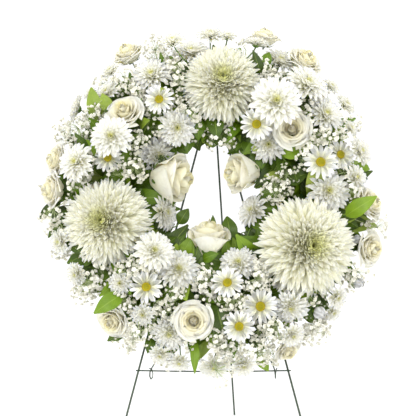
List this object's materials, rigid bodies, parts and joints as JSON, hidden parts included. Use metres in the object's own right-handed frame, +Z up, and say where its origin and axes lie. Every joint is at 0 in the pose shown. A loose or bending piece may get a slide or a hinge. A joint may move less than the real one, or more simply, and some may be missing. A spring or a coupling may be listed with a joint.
{
  "type": "funeral wreath",
  "caption": "Round funeral wreath of white chrysanthemums, daisies, roses and leaves in a foam ring, leaning on a folding three-legged wire easel.",
  "frame": {"origin": "on the floor, below the centre of the bounding box", "axes": "+Z up, -Y towards the viewer of the flowers, +X to the viewer's right"},
  "size_m": [0.5422, 0.3684, 0.6929],
  "materials": {
    "wire_paint": "dark green enamel on steel wire",
    "floral_foam": "matte wet floral foam",
    "tray_plastic": "satin green plastic",
    "mum_petals": "soft petals",
    "rose_petals": "soft velvety petals",
    "white_petals": "soft petals",
    "leaf_green": "waxy leaves",
    "gypsophila": "small soft florets"
  },
  "bodies": {
    "frame_and_wreath": {"front_leg_left": "wire_paint", "front_leg_right": "wire_paint", "hinge_pin": "wire_paint", "cross_brace": "wire_paint", "hook_left": "wire_paint", "hook_right": "wire_paint", "foam_ring": "floral_foam", "ring_tray": "tray_plastic", "mum_1": "mum_petals", "mum_2": "mum_petals", "mum_3": "mum_petals", "rose_1": "rose_petals", "rose_2": "rose_petals", "rose_3": "rose_petals", "rose_4": "rose_petals", "rose_5": "rose_petals", "rose_6": "rose_petals", "rose_7": "rose_petals", "rose_8": "rose_petals", "rose_9": "rose_petals", "rose_10": "rose_petals", "rose_11": "rose_petals", "rose_12": "rose_petals", "rose_13": "rose_petals", "rose_14": "rose_petals", "rose_15": "rose_petals", "spray_1": "white_petals", "spray_2": "white_petals", "spray_3": "white_petals", "spray_4": "white_petals", "spray_5": "white_petals", "spray_6": "white_petals", "spray_7": "white_petals", "spray_8": "white_petals", "spray_9": "white_petals", "spray_10": "white_petals", "spray_11": "white_petals", "spray_12": "white_petals", "spray_13": "white_petals", "spray_14": "white_petals", "spray_15": "white_petals", "spray_16": "white_petals", "spray_17": "white_petals", "leaves_1": "leaf_green", "leaves_2": "leaf_green", "leaves_3": "leaf_green", "leaves_4": "leaf_green", "leaves_5": "leaf_green", "leaves_6": "leaf_green", "leaves_7": "leaf_green", "leaves_8": "leaf_green", "leaves_9": "leaf_green", "babys_breath_1": "gypsophila", "babys_breath_2": "gypsophila", "babys_breath_3": "gypsophila", "babys_breath_4": "gypsophila", "babys_breath_5": "gypsophila", "babys_breath_6": "gypsophila", "babys_breath_7": "gypsophila"},
    "back_leg": {"back_leg": "wire_paint"}
  },
  "joints": [
    {"name": "back_leg_fold", "type": "hinge", "parent": "frame_and_wreath", "child": "back_leg", "pos_m": [0.00633, 0.03302, 0.55812], "axis": [-1, 0, 0], "range_deg": [0, 28]}
  ]
}
